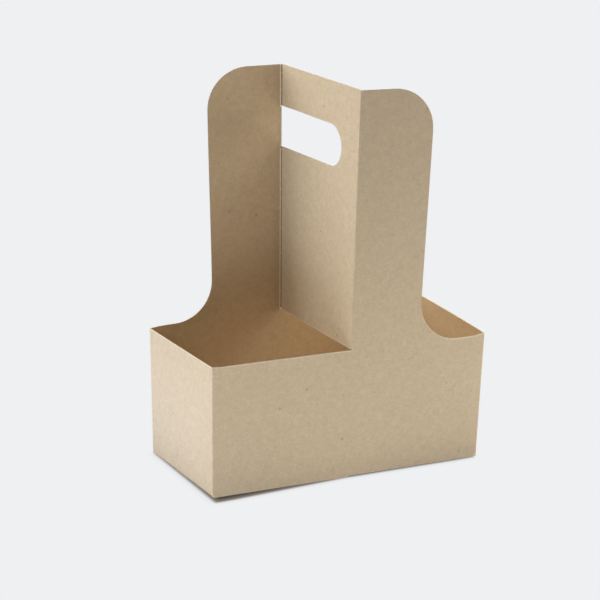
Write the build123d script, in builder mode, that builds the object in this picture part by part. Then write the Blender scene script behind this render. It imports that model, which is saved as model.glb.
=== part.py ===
"""A one-piece folded carrier for two takeaway cups.

One die-cut blank of kraft board makes the whole carrier. Its walls are folded into a long
open sleeve whose base flaps interlock. The right half of the front wall and the left half
of the back wall run on upwards as two wings, and a ply hinged on each wing crosses the
sleeve. The two plies are glued face to face and make the divider with the hand hole, so
from above the handle is a Z.

Millimetres. X runs along the carrier, -Y is the front, and the origin is the middle of the
footprint, on the surface that the carrier stands on.
"""

import os

from build123d import *

# Board and folds
board = 0.6  # thickness of the kraft board
crease_radius = 0.5  # inside radius of every fold

# Sleeve, outside sizes
length = 180.0
depth = 90.0
wall_height = 81.0  # from the base to the rim

# Handle, measured from the rim and from the middle of the divider
handle_rise = 155.0  # rim to the top edge
wing_width = 47.0  # at the rim
wing_flare = 1.3  # how much wider each wing is at its top
wing_corner = 25.0  # rounded outer top corner
wing_foot = 25.0  # hollow curve where a wing's side runs into the rim
ply_gap = 3.0  # a ply's free edge stops this far from the opposite wing

# Hand hole through both plies, open to the fold of the back ply
hole_height = 25.0
hole_reach = 70.5  # from the outside of the back wing to the round end
hole_drop = 25.0  # from the top edge down to the hole

# Glued seam at the right back corner
glue_flap = 15.0  # how far the flap runs along the inside of the back wall
glue_flap_inset = 3.0  # its clearance from the rim and from the base fold
glue_flap_taper = 3.0  # how much each of its ends slopes
seam_gap = 0.3  # the back wall's cut edge stops this far short of the right end

# Base flaps
deep_lap = 12.0  # how far a deep flap passes the middle of the base
end_flap = 42.0  # reach of the two end flaps
end_flap_taper = 8.0
flap_slit = 1.0  # between the two halves of the front and back flaps
flap_clearance = 0.3  # beside the upright folds

# Sizes that follow from those above
top = wall_height + handle_rise
fold = crease_radius + board / 2  # radius at the middle of the board
outer_fold = crease_radius + board
end_x = (length - board) / 2  # middle of the board in the end walls
side_y = (depth - board) / 2  # middle of the board in the front and back walls
hole_z = top - hole_drop - hole_height / 2
hole_end_y = depth / 2 - hole_reach
flat_x = length / 2 - outer_fold - flap_clearance  # the board is flat inside these two
flat_y = depth / 2 - outer_fold - flap_clearance
flap_levels = 3  # boards stacked in the base
panel_start = flap_levels * board + outer_fold  # above every fold of the base


def folded_strip(plane, *points):
    """Section of the board along a path through its middle, with every corner a fold."""
    with BuildSketch(plane) as section:
        with BuildLine():
            FilletPolyline(*points, radius=fold)
        trace(line_width=board)
    return section.sketch


def base_flap(foot, level, reach, width, taper):
    """One base flap with its fold.

    foot stands on the outside of the wall, at the floor and in the middle of the flap, with
    its x axis pointing inwards and its y axis up. level counts the boards that lie below.
    """
    middle = (level + 0.5) * board
    path = (board / 2, panel_start), (board / 2, middle), (reach, middle)
    with BuildPart() as flap:
        extrude(folded_strip(foot, *path), amount=width / 2, both=True)
        with BuildSketch(Plane(foot.origin, x_dir=foot.x_dir, z_dir=(0, 0, 1))):
            with BuildLine():
                Polyline(
                    (0, -width / 2),
                    (outer_fold, -width / 2),
                    (reach, taper - width / 2),
                    (reach, width / 2 - taper),
                    (outer_fold, width / 2),
                    (0, width / 2),
                    close=True,
                )
            make_face()
        extrude(amount=panel_start, mode=Mode.INTERSECT)
    return flap.part


# Half of the base and half of the handle. The other half is the same turned half a turn
# about Z: a deep flap and an end flap below, and the wing with its ply above.
half_flap = flat_x - flap_slit / 2
half_flap_x = -(flap_slit + half_flap) / 2
end_flap_width = 2 * flat_y

front_foot = Plane((half_flap_x, -depth / 2, 0), x_dir=(0, 1, 0), z_dir=(1, 0, 0))
back_foot = Plane((half_flap_x, depth / 2, 0), x_dir=(0, -1, 0), z_dir=(-1, 0, 0))
end_foot = Plane((-length / 2, 0, 0), x_dir=(1, 0, 0), z_dir=(0, -1, 0))

deep_flap = base_flap(front_foot, 0, depth / 2 + deep_lap, half_flap, 0)
short_flap = base_flap(back_foot, 1, depth / 2, half_flap, 0)
left_end_flap = base_flap(end_foot, 2, end_flap, end_flap_width, end_flap_taper)

with BuildPart() as half:
    add(deep_flap)
    add(short_flap)
    add(left_end_flap)
    wing_and_ply = folded_strip(
        Plane.XY.offset(wall_height),
        (-end_x, side_y),
        (board / 2, side_y),
        (board / 2, ply_gap + board - depth / 2),
    )
    extrude(wing_and_ply, amount=handle_rise)

# The back half of the right end wall, with the upright fold that carries the glue flap.
flap_low = panel_start + glue_flap_inset
flap_high = wall_height - glue_flap_inset
with BuildPart() as seam:
    wall_and_flap = folded_strip(
        Plane.XY.offset(outer_fold),
        (end_x, 0),
        (end_x, side_y - board),
        (length / 2 - glue_flap, side_y - board),
    )
    extrude(wall_and_flap, amount=wall_height - outer_fold)
    with BuildSketch(Plane.XZ):
        with BuildLine():
            Polyline(
                (length / 2, outer_fold),
                (length / 2, wall_height),
                (flat_x, wall_height),
                (flat_x, flap_high),
                (length / 2 - glue_flap, flap_high - glue_flap_taper),
                (length / 2 - glue_flap, flap_low + glue_flap_taper),
                (flat_x, flap_low),
                (flat_x, outer_fold),
                close=True,
            )
        make_face()
    extrude(amount=depth, both=True, mode=Mode.INTERSECT)

with BuildPart() as cup_carrier:
    # The sleeve is one strip with upright folds, from the back wall's cut edge at the right
    # back corner round to the seam, whose glue flap lies on the inside of the back wall.
    walls = folded_strip(
        Plane.XY.offset(outer_fold),
        (length / 2 - seam_gap, side_y),
        (-end_x, side_y),
        (-end_x, -side_y),
        (end_x, -side_y),
        (end_x, 0),
    )
    extrude(walls, amount=wall_height - outer_fold)
    add(seam.part)

    # Where a flap turns in, the strip stops above its fold, so only the corners reach down.
    with BuildSketch():
        with GridLocations(-2 * half_flap_x, 0, 2, 1):
            Rectangle(half_flap, depth)
        Rectangle(length, end_flap_width)
    extrude(amount=panel_start, mode=Mode.SUBTRACT)

    add(half.part)
    add(half.part.rotate(Axis.Z, 180))

    # The die line seen from the front: the sleeve, and both wings as one flared panel with
    # rounded corners that runs into the rims on hollow curves.
    with BuildSketch(Plane.XZ) as die_line:
        with Locations((0, wall_height / 2)):
            Rectangle(length, wall_height)
        with BuildLine():
            Polyline(
                (-wing_width, wall_height),
                (-wing_width - wing_flare, top),
                (wing_width + wing_flare, top),
                (wing_width, wall_height),
                close=True,
            )
        make_face()
        fillet(die_line.vertices().group_by(Axis.Y)[-1], wing_corner)
        rim_points = die_line.vertices().filter_by_position(Axis.Y, wall_height, wall_height)
        fillet(rim_points.sort_by(Axis.X)[1:3], wing_foot)
    extrude(amount=depth, both=True, mode=Mode.INTERSECT)

    # The hand hole goes through both plies, and its round end is towards the front.
    with BuildSketch(Plane.YZ):
        with Locations((hole_end_y + hole_height / 2, hole_z)):
            Circle(hole_height / 2)
            Rectangle(
                hole_reach - hole_height / 2 - board,
                hole_height,
                align=(Align.MIN, Align.CENTER),
            )
    extrude(amount=outer_fold, both=True, mode=Mode.SUBTRACT)

    # It takes the back ply's fold with it, so there the wing ends on a plain cut edge.
    with BuildSketch(Plane.YZ):
        with Locations((depth / 2, hole_z)):
            Rectangle(outer_fold, hole_height, align=(Align.MAX, Align.CENTER))
    extrude(amount=outer_fold, mode=Mode.SUBTRACT)

cup_carrier.part.label = "cup_carrier"
os.makedirs("parts", exist_ok=True)
export_step(cup_carrier.part, "parts/cup_carrier.step")
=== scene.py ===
"""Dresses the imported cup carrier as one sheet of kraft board, die-cut, folded and glued.

The board's middle surface is worked out in grids that follow the blank: the sleeve with its
upright folds, two wings with the plies hinged on them, and the base flaps. The grids are
welded, given the board's thickness, and moved to where the real carrier's corners and folds
stand. Lengths are millimetres until the mesh is written, which is in metres.
"""

import logging
import math
from dataclasses import dataclass, field
from enum import Enum

import bpy
import numpy as np
from mathutils import Matrix, Vector

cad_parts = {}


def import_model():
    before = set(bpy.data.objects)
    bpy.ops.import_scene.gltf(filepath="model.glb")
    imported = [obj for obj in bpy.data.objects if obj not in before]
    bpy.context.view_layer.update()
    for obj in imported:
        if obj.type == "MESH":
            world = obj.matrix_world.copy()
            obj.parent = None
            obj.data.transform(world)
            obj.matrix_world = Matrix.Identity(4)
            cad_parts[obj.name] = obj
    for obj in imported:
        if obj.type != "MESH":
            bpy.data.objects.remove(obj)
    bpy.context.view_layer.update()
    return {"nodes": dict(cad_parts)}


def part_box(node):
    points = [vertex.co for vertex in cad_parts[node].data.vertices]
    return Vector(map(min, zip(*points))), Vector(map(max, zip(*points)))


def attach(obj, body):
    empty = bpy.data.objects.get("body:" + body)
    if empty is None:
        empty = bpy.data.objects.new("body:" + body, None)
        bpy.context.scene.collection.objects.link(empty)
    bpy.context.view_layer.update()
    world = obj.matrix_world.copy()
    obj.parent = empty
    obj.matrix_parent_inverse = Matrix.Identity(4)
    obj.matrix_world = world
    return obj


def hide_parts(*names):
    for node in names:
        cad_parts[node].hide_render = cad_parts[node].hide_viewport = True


LOG = logging.getLogger("cup_carrier")
MM = 0.001
QUARTER_TURN = math.pi / 2

# Distances along the board, in millimetres: doubles are dropped after rounding to this many
# decimals, and a place is inside a span that it misses by less than this.
DECIMALS = 6
NEARLY = 0.001

WHITE = (1.0, 1.0, 1.0)
COOL_DAYLIGHT = (1.0, 1.195, 1.70)

Pair = tuple[float, float]
Triple = tuple[float, float, float]
DisplayColour = tuple[int, int, int]
Socket = bpy.types.NodeSocket
SocketValue = Socket | float | tuple[float, ...]


class Face(Enum):
    """The kinds of surface that the board shows, numbered as the piece's material slots."""

    OUTSIDE = 0
    INSIDE = 1
    CUT_EDGE = 2


class HoleEnd(Enum):
    """Where the hand hole runs out of a ply."""

    FOLD = "at the fold, beside the wing"
    FREE_EDGE = "at the ply's free edge"


class BaseLevel(Enum):
    """How many boards lie below a base flap."""

    DEEP = 0
    SHORT = 1
    END = 2


class BoardMap(Enum):
    """What the mesh stores for its finishes. All are metres but the last, which is a share."""

    BLANK = "blank"
    CUT_DISTANCE = "cut_distance"
    FOLD_DISTANCE = "fold_distance"
    CREASE_OFFSET = "crease_offset"
    RUBBED = "rubbed"


def steps_between(start: float, stop: float, pitch: float) -> np.ndarray:
    """Even steps from start to stop, both included, none longer than the pitch.

    Args:
        start: First value.
        stop: Last value.
        pitch: Length that a step has at the most.

    Returns:
        The values in order.
    """
    return np.linspace(start, stop, max(1, math.ceil(abs(stop - start) / pitch)) + 1)


def new_object(name: str, data: bpy.types.ID) -> bpy.types.Object:
    """Puts a new object in the scene.

    Args:
        name: Its name.
        data: Its mesh, light or camera.

    Returns:
        The object, at the origin.
    """
    made = bpy.data.objects.new(name, data)
    bpy.context.scene.collection.objects.link(made)
    return made


def smooth_step(value: np.ndarray) -> np.ndarray:
    """0 below 0, 1 above 1 and 3 v squared - 2 v cubed between them."""
    v = np.clip(value, 0.0, 1.0)
    return v * v * (3.0 - 2.0 * v)


def inside(places: np.ndarray, start: float, stop: float) -> np.ndarray:
    """The places of a row that lie between start and stop, both included."""
    return places[(places > start - NEARLY) & (places < stop + NEARLY)]


def in_order(parts: list[np.ndarray | list[float]]) -> np.ndarray:
    """All distances of some rows in one row, in order and each only once."""
    return np.unique(np.round(np.concatenate(parts), DECIMALS))


@dataclass(frozen=True)
class CarrierSize:
    """Outside sizes of the carrier and of its board, in millimetres.

    The board bends about the crease radius on the inside of a fold. A flap slit is between
    the two halves of the front and back flaps, and the flap clearance is beside the upright
    folds.
    """

    length: float
    depth: float
    height: float
    wall_height: float = 81.0
    board: float = 0.6
    crease_radius: float = 0.15
    flap_slit: float = 0.1
    flap_clearance: float = 0.3

    @classmethod
    def from_frame(cls, node: str) -> "CarrierSize":
        """Takes the outside sizes from a node of the frame.

        Args:
            node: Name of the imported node.

        Returns:
            The sizes.
        """
        low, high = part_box(node)
        length, depth, height = (round(side / MM, 3) for side in high - low)
        return cls(length, depth, height)

    @property
    def fold(self) -> float:
        """Radius of a fold at the middle of the board."""
        return self.crease_radius + self.board / 2

    @property
    def outer_fold(self) -> float:
        """Radius of a fold on the outside of the board."""
        return self.crease_radius + self.board

    @property
    def fold_saving(self) -> float:
        """How much shorter the board is round a fold than along its sharp corner."""
        return self.fold * (2 - QUARTER_TURN)

    @property
    def end_x(self) -> float:
        """Distance from the middle to the middle of an end wall."""
        return (self.length - self.board) / 2

    @property
    def side_y(self) -> float:
        """Distance from the middle to the middle of the front or back wall."""
        return (self.depth - self.board) / 2

    @property
    def flat_x(self) -> float:
        """The board is flat between the two places this far from the middle along X."""
        return self.length / 2 - self.outer_fold - self.flap_clearance

    @property
    def flat_y(self) -> float:
        """The board is flat between the two places this far from the middle along Y."""
        return self.depth / 2 - self.outer_fold - self.flap_clearance

    @property
    def panel_start(self) -> float:
        """Height above which no base fold reaches."""
        return len(BaseLevel) * self.board + self.outer_fold

    @property
    def half_way(self) -> float:
        """Distance on the blank between a place and the same place turned half a turn."""
        return 2 * self.end_x + 2 * self.side_y - 2 * self.fold_saving


@dataclass(frozen=True)
class FoldedPath:
    """Middle line of the board seen along its folds: straight runs joined by left turns."""

    corners: tuple[Pair, ...]
    radius: float
    blank_start: float = 0.0

    def at(self, distance: np.ndarray) -> tuple[np.ndarray, np.ndarray, np.ndarray]:
        """Walks the path by distances measured along its sharp-cornered line.

        A run moves the place along its heading h. A fold turns h by an angle a that grows
        evenly from one radius before its corner to one radius after it, and moves the place
        by r (h sin a + l (1 - cos a)), where l is h turned left. The outside is to the right.

        Args:
            distance: Distances from the path's start.

        Returns:
            The places, the outward directions and the distances on the flat blank.
        """
        points = np.array(self.corners)
        steps = np.diff(points, axis=0)
        lengths = np.hypot(steps[:, 0], steps[:, 1])
        headings = steps / lengths[:, None]
        starts = np.concatenate([[0.0], np.cumsum(lengths)])
        lefts = np.stack([-headings[:, 1], headings[:, 0]], axis=1)
        last = len(headings) - 1
        place = np.repeat(points[:1], len(distance), axis=0)
        blank = np.full(len(distance), self.blank_start)
        turned = np.zeros(len(distance))
        for run, (heading, left) in enumerate(zip(headings, lefts)):
            begin = starts[run] + (self.radius if run else 0.0)
            end = starts[run + 1] - (self.radius if run < last else 0.0)
            walked = np.clip(distance - begin, 0.0, end - begin)
            place = place + walked[:, None] * heading
            blank = blank + walked
            if run < last:
                turn = np.clip((distance - end) / (2 * self.radius), 0.0, 1.0) * QUARTER_TURN
                along, aside = np.sin(turn)[:, None], 1.0 - np.cos(turn)[:, None]
                place = place + self.radius * (along * heading + aside * left)
                blank = blank + self.radius * turn
                turned = turned + turn
        ahead = np.cos(turned)[:, None] * headings[0] + np.sin(turned)[:, None] * lefts[0]
        return place, np.stack([ahead[:, 1], -ahead[:, 0]], axis=1), blank

    def fold_steps(self, corner: float, count: int = 6) -> np.ndarray:
        """Distances that divide the fold at a corner, which is given by its own distance."""
        return np.linspace(corner - self.radius, corner + self.radius, count + 1)


@dataclass
class Patch:
    """One grid of the board's middle surface, with its outward normals.

    Rows run up the blank and columns run along it, so that a face's corners are
    counter-clockwise seen from outside. Each array is rows by columns by coordinates.
    """

    places: np.ndarray
    outward: np.ndarray
    blank: np.ndarray

    @classmethod
    def upright(cls, path: FoldedPath, along: np.ndarray, heights: np.ndarray) -> "Patch":
        """A wall above a path: each place is the path's point with the height added.

        Args:
            path: Plan of the wall.
            along: Distances on the path, one row for all heights or one row for each.
            heights: Heights of the rows, or of every single place.

        Returns:
            The patch.
        """
        rows = np.broadcast_to(along, (len(heights), along.shape[-1]))
        z = heights[:, None] if heights.ndim == 1 else heights
        z = np.broadcast_to(z, rows.shape)
        plan, aside, blank = path.at(rows.ravel())
        shape = rows.shape
        flat = np.zeros(shape)
        return cls(
            np.stack([plan[:, 0].reshape(shape), plan[:, 1].reshape(shape), z], axis=-1),
            np.stack([aside[:, 0].reshape(shape), aside[:, 1].reshape(shape), flat], axis=-1),
            np.stack([blank.reshape(shape), z], axis=-1),
        )

    def turned(self, blank_shift: float) -> "Patch":
        """The same patch turned half a turn about Z, and moved along the blank.

        Args:
            blank_shift: How far along the blank the turned copy lies.

        Returns:
            The turned patch.
        """
        half_turn = np.array([-1.0, -1.0, 1.0])
        shift = np.array([blank_shift, 0.0])
        return Patch(self.places * half_turn, self.outward * half_turn, self.blank + shift)


@dataclass(frozen=True)
class Wing:
    """Half of the handle: the wing on the left half of the back wall, with its ply.

    The other half is the same turned half a turn, apart from the hand hole. That goes
    through both plies at one place, so it runs out of one at its fold and out of the other
    at its free edge.

    Lengths are millimetres. The width is measured at the rim and the flare is added at the
    top. The tab is the strip that the wing keeps beside the hole, and its inset is from the
    hole's lower and upper edge. The edge rows are the two rows or columns next to a cut
    edge, by their distances from it. Along the rim and the top one more row comes before
    them, a first share of the way to the next.
    """

    size: CarrierSize
    hole_end: HoleEnd
    width: float = 46.0
    flare: float = 0.9
    corner: float = 25.5
    foot: float = 25.0
    ply_gap: float = 2.6
    hole_height: float = 25.3
    hole_reach: float = 70.6
    hole_drop: float = 25.3
    ply_rise: float = 0.4
    tab_reach: float = 0.55
    tab_inset: float = 0.4
    edge_rows: Pair = (0.5, 1.5)
    first_share: float = 0.25
    foot_rows: int = 12
    hole_rows: int = 19
    corner_rows: int = 14
    row_pitch: float = 1.5
    wing_columns: int = 26
    bead_columns: tuple[float, ...] = (0.2, 0.4, 0.6, 0.9)
    ply_pitch: float = 2.4

    @property
    def path(self) -> FoldedPath:
        """Plan of the ply and the wing.

        Returns:
            The path from the ply's free edge to the carrier's left end.
        """
        size = self.size
        fold_x = size.board / 2
        corners = (
            (fold_x, self.ply_gap + size.board - size.depth / 2),
            (fold_x, size.side_y),
            (-size.end_x, size.side_y),
        )
        ply = size.side_y - corners[0][1]
        return FoldedPath(corners, size.fold, size.end_x - fold_x - ply + size.fold_saving)

    @property
    def fold_distance(self) -> float:
        """Distance along the path to the corner between ply and wing."""
        return self.path.corners[1][1] - self.path.corners[0][1]

    @property
    def round_middle(self) -> float:
        """Where the middle of the hole's round end is.

        Returns:
            Its distance along the path.
        """
        middle_y = self.size.depth / 2 - self.hole_reach + self.hole_height / 2
        if self.hole_end is HoleEnd.FREE_EDGE:
            middle_y = -middle_y
        return middle_y - self.path.corners[0][1]

    @property
    def hole_low(self) -> float:
        """Height of the hole's lower edge."""
        return self.size.height - self.hole_drop - self.hole_height

    @property
    def hole_high(self) -> float:
        """Height of the hole's upper edge."""
        return self.size.height - self.hole_drop

    def side(self, z: np.ndarray) -> np.ndarray:
        """How far the wing's outer edge is from the middle of the carrier.

        Above the foot it is the flared line w + f (z - rim) / rise. In the foot it is that
        line at the foot's top plus r - sqrt(r squared - (foot top - z) squared), and in the
        rounded corner it is the line at the corner's start minus the same for the corner.

        Args:
            z: Heights.

        Returns:
            The distances.
        """
        rim, top = self.size.wall_height, self.size.height
        line = self.width + self.flare * (z - rim) / (top - rim)
        below = np.clip(rim + self.foot - z, 0.0, self.foot)
        above = np.clip(z - top + self.corner, 0.0, self.corner)
        hollow = self.foot - np.sqrt(self.foot**2 - below**2)
        rounded = self.corner - np.sqrt(self.corner**2 - above**2)
        return line + hollow - rounded

    def rows(self) -> tuple[np.ndarray, np.ndarray, np.ndarray]:
        """Heights of the rows, dense where an edge is near or a curve is flat.

        Returns:
            The rows up to the hole, beside it and above it. The shared ones are in both.
        """
        rim, top = self.size.wall_height, self.size.height
        near, far = self.edge_rows
        ply_foot = rim + self.ply_rise
        first_turn = np.arccos(1 - (self.ply_rise + far) / self.foot)
        foot_turns = np.linspace(first_turn, QUARTER_TURN, self.foot_rows)
        foot = rim + self.foot * (1 - np.cos(foot_turns))
        lower = np.concatenate([
            [rim, rim + self.ply_rise * self.first_share, ply_foot, ply_foot + near],
            foot,
            steps_between(foot[-1], self.hole_low - far, self.row_pitch)[1:],
            [self.hole_low - near, self.hole_low],
        ])
        radius = self.hole_height / 2
        tab_turn = np.arccos(1 - self.tab_inset / radius)
        end_turns = np.array([0.0, tab_turn / 2])
        middle_turns = np.linspace(tab_turn, math.pi - tab_turn, self.hole_rows)
        hole_turns = np.concatenate([end_turns, middle_turns, math.pi - end_turns[::-1]])
        beside = self.hole_low + radius * (1 - np.cos(hole_turns))
        corner_ends = np.arcsin(np.array([far, self.corner - far]) / self.corner)
        corner_turns = np.linspace(*corner_ends, self.corner_rows)
        upper = np.concatenate([
            [self.hole_high, self.hole_high + near],
            self.hole_high + self.corner * np.sin(corner_turns),
            [top - near, top - near * self.first_share, top],
        ])
        return lower, beside, upper

    def wing_stations(self, z: np.ndarray) -> np.ndarray:
        """Places of the wing's columns along the path at given heights.

        The first columns are where the fold ends and across its bead. The last three keep
        close to the cut edge, and those between divide the width evenly.

        Args:
            z: Heights of the rows.

        Returns:
            Rows by columns of distances along the path.
        """
        fold_end = self.fold_distance + self.size.fold
        edge = self.fold_distance + self.size.board / 2 + self.side(z)
        near, far = self.edge_rows
        across = fold_end + np.array([0.0, *self.bead_columns[:-1]])
        bead = np.broadcast_to(across, (len(z), len(across)))
        bead_end = fold_end + self.bead_columns[-1]
        share = np.linspace(0.0, 1.0, self.wing_columns + 1)
        inner = bead_end + (edge - far - bead_end)[:, None] * share
        return np.concatenate([bead, inner, (edge - near)[:, None], edge[:, None]], axis=1)

    def crease_blank(self) -> float:
        """Place on the blank of the middle of the crease between the wing and its ply."""
        return float(self.path.at(np.array([self.fold_distance]))[2][0])

    def rim_stations(self) -> np.ndarray:
        """Distances from the middle of the carrier of the wing's columns at the rim."""
        stations = self.wing_stations(np.array([self.size.wall_height]))[0]
        return stations - self.fold_distance - self.size.board / 2

    def ply_shares(self, width: float) -> np.ndarray:
        """Shares from 0 to 1 that divide a width of the ply in steps of about its pitch."""
        return np.linspace(0.0, 1.0, 2 + round(width / self.ply_pitch))

    def free_side(self, reach: np.ndarray) -> np.ndarray:
        """The ply's columns from its free edge to a reach, dense at both ends.

        Args:
            reach: Distance along the path where each row ends.

        Returns:
            Rows by columns of distances along the path.
        """
        near, far = self.edge_rows
        share = self.ply_shares(self.round_middle)
        inner = far + (reach - 2 * far)[:, None] * share
        start = np.broadcast_to([0.0, near], (len(reach), 2))
        return np.concatenate([start, inner, (reach - near)[:, None], reach[:, None]], axis=1)

    def fold_side(self, start: np.ndarray) -> np.ndarray:
        """The ply's columns from a start to the end of its fold, dense at the start.

        Args:
            start: Distance along the path where each row starts.

        Returns:
            Rows by columns of distances along the path.
        """
        near, far = self.edge_rows
        folds = self.path.fold_steps(self.fold_distance)
        share = self.ply_shares(folds[0] - self.round_middle)
        inner = (start + far)[:, None] + (folds[0] - start - far)[:, None] * share
        bend = np.broadcast_to(folds[1:], (len(start), len(folds) - 1))
        return np.concatenate([start[:, None], (start + near)[:, None], inner, bend], axis=1)

    def patches(self) -> list[Patch]:
        """The wing, its fold and its ply, which leave the hand hole open.

        The ply's foot is above the rim by the ply's rise. The hole's round end bulges by
        sqrt(r squared - (z - middle) squared).

        Returns:
            The patches.
        """
        path = self.path
        lower, beside, upper = self.rows()
        heights = np.concatenate([lower, beside[1:], upper[1:]])
        made = [Patch.upright(path, self.wing_stations(heights), heights)]
        below = inside(lower, self.size.wall_height + self.ply_rise, self.hole_low)
        for rows in (below, upper):
            middle = np.full(len(rows), self.round_middle)
            made.append(Patch.upright(path, self.free_side(middle), rows))
            made.append(Patch.upright(path, self.fold_side(middle), rows))
        radius = self.hole_height / 2
        bulge = np.sqrt(np.clip(radius**2 - (beside - self.hole_low - radius) ** 2, 0.0, None))
        if self.hole_end is HoleEnd.FREE_EDGE:
            made.append(Patch.upright(path, self.fold_side(self.round_middle + bulge), beside))
        else:
            made.append(Patch.upright(path, self.free_side(self.round_middle - bulge), beside))
            tab = inside(beside, self.hole_low + self.tab_inset, self.hole_high - self.tab_inset)
            made.append(self.hole_tab(tab))
        return made

    def hole_tab(self, rows: np.ndarray) -> Patch:
        """The narrow flat strip that the wing keeps beside the hole, where its ply is cut away.

        Args:
            rows: Heights of the strip's rows.

        Returns:
            The patch.
        """
        size = self.size
        flat_path = FoldedPath(((self.tab_reach, size.side_y), (-size.end_x, size.side_y)), size.fold)
        fold_end = self.tab_reach + size.fold - size.board / 2
        tab = Patch.upright(flat_path, np.array([0.0, fold_end]), rows)
        tab.blank[..., 0] += size.end_x - self.tab_reach
        return tab


@dataclass(frozen=True)
class Sleeve:
    """The walls: one strip with four upright folds and the glue flap at its end."""

    size: CarrierSize
    wing: Wing
    glue_flap: float = 15.0
    glue_flap_inset: float = 3.0
    glue_flap_taper: float = 3.0
    pitch: float = 2.6

    @property
    def path(self) -> FoldedPath:
        """Plan of the walls.

        Returns:
            The path from the back wall's cut edge round to the glue flap's end.
        """
        x, y, board = self.size.end_x, self.size.side_y, self.size.board
        flap_end = self.size.length / 2 - self.glue_flap
        corners = ((x, y), (-x, y), (-x, -y), (x, -y), (x, y - board), (flap_end, y - board))
        return FoldedPath(corners, self.size.fold)

    def corner_distances(self) -> list[float]:
        """Where the path's four folds are.

        Returns:
            Their distances along the path: left back, left front, right front, right back.
        """
        points = np.array(self.path.corners)
        steps = np.abs(np.diff(points, axis=0)).sum(axis=1)
        return list(np.cumsum(steps)[:-1])

    def stations(self) -> np.ndarray:
        """Distances along the path of all columns.

        Each wall has columns at the ends of its flaps, where it stops being flat, and at the
        columns of the wing that stands on it.

        Returns:
            The distances in order, up to where the glue flap starts.
        """
        size = self.size
        x, y, slit = size.end_x, size.side_y, size.flap_slit / 2
        rim = self.wing.rim_stations()
        bare = steps_between(slit, size.flat_x, self.pitch)
        beyond = steps_between(rim[-1], size.flat_x, self.pitch)[1:]
        winged = np.concatenate([rim, beyond])
        end = steps_between(-size.flat_y, size.flat_y, self.pitch)
        corners = self.corner_distances()
        folds = [self.path.fold_steps(corner) for corner in corners]
        back, left, front, right = 0.0, corners[0], corners[1], corners[2]
        parts = [
            [back], back + x - bare, back + x + winged,
            left + y - end, front + x - bare, front + x + winged, right + y + end,
            *folds,
            [corners[3] + (x - size.flat_x)],
        ]
        return in_order(parts)

    def heights(self) -> np.ndarray:
        """Heights of all rows, with the glue flap's ends among them.

        Returns:
            The heights in order.
        """
        size = self.size
        low, high = self.flap_ends()
        near, far = self.wing.edge_rows
        return np.concatenate([
            [size.panel_start],
            steps_between(low, high, self.pitch),
            [size.wall_height - far, size.wall_height - near, size.wall_height],
        ])

    def flap_ends(self) -> tuple[float, float]:
        """Lowest and highest place of the glue flap."""
        size = self.size
        return size.panel_start + self.glue_flap_inset, size.wall_height - self.glue_flap_inset

    def patches(self) -> list[Patch]:
        """The walls and the glue flap.

        The glue flap narrows evenly: at a share s of its length each height z is
        m + (z - m) (1 - t s / h), with m its middle, h half its height and t its taper.

        Returns:
            The patches.
        """
        stations, heights = self.stations(), self.heights()
        low, high = self.flap_ends()
        rows = inside(heights, low, high)
        flap_length = self.size.flat_x - self.path.corners[-1][0]
        along = steps_between(stations[-1], stations[-1] + flap_length, self.pitch)
        share = (along - along[0]) / (along[-1] - along[0])
        middle, half = (low + high) / 2, (high - low) / 2
        z = middle + (rows - middle)[:, None] * (1 - self.glue_flap_taper * share / half)
        walls = Patch.upright(self.path, stations, heights)
        return [walls, Patch.upright(self.path, along, z)]


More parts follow.
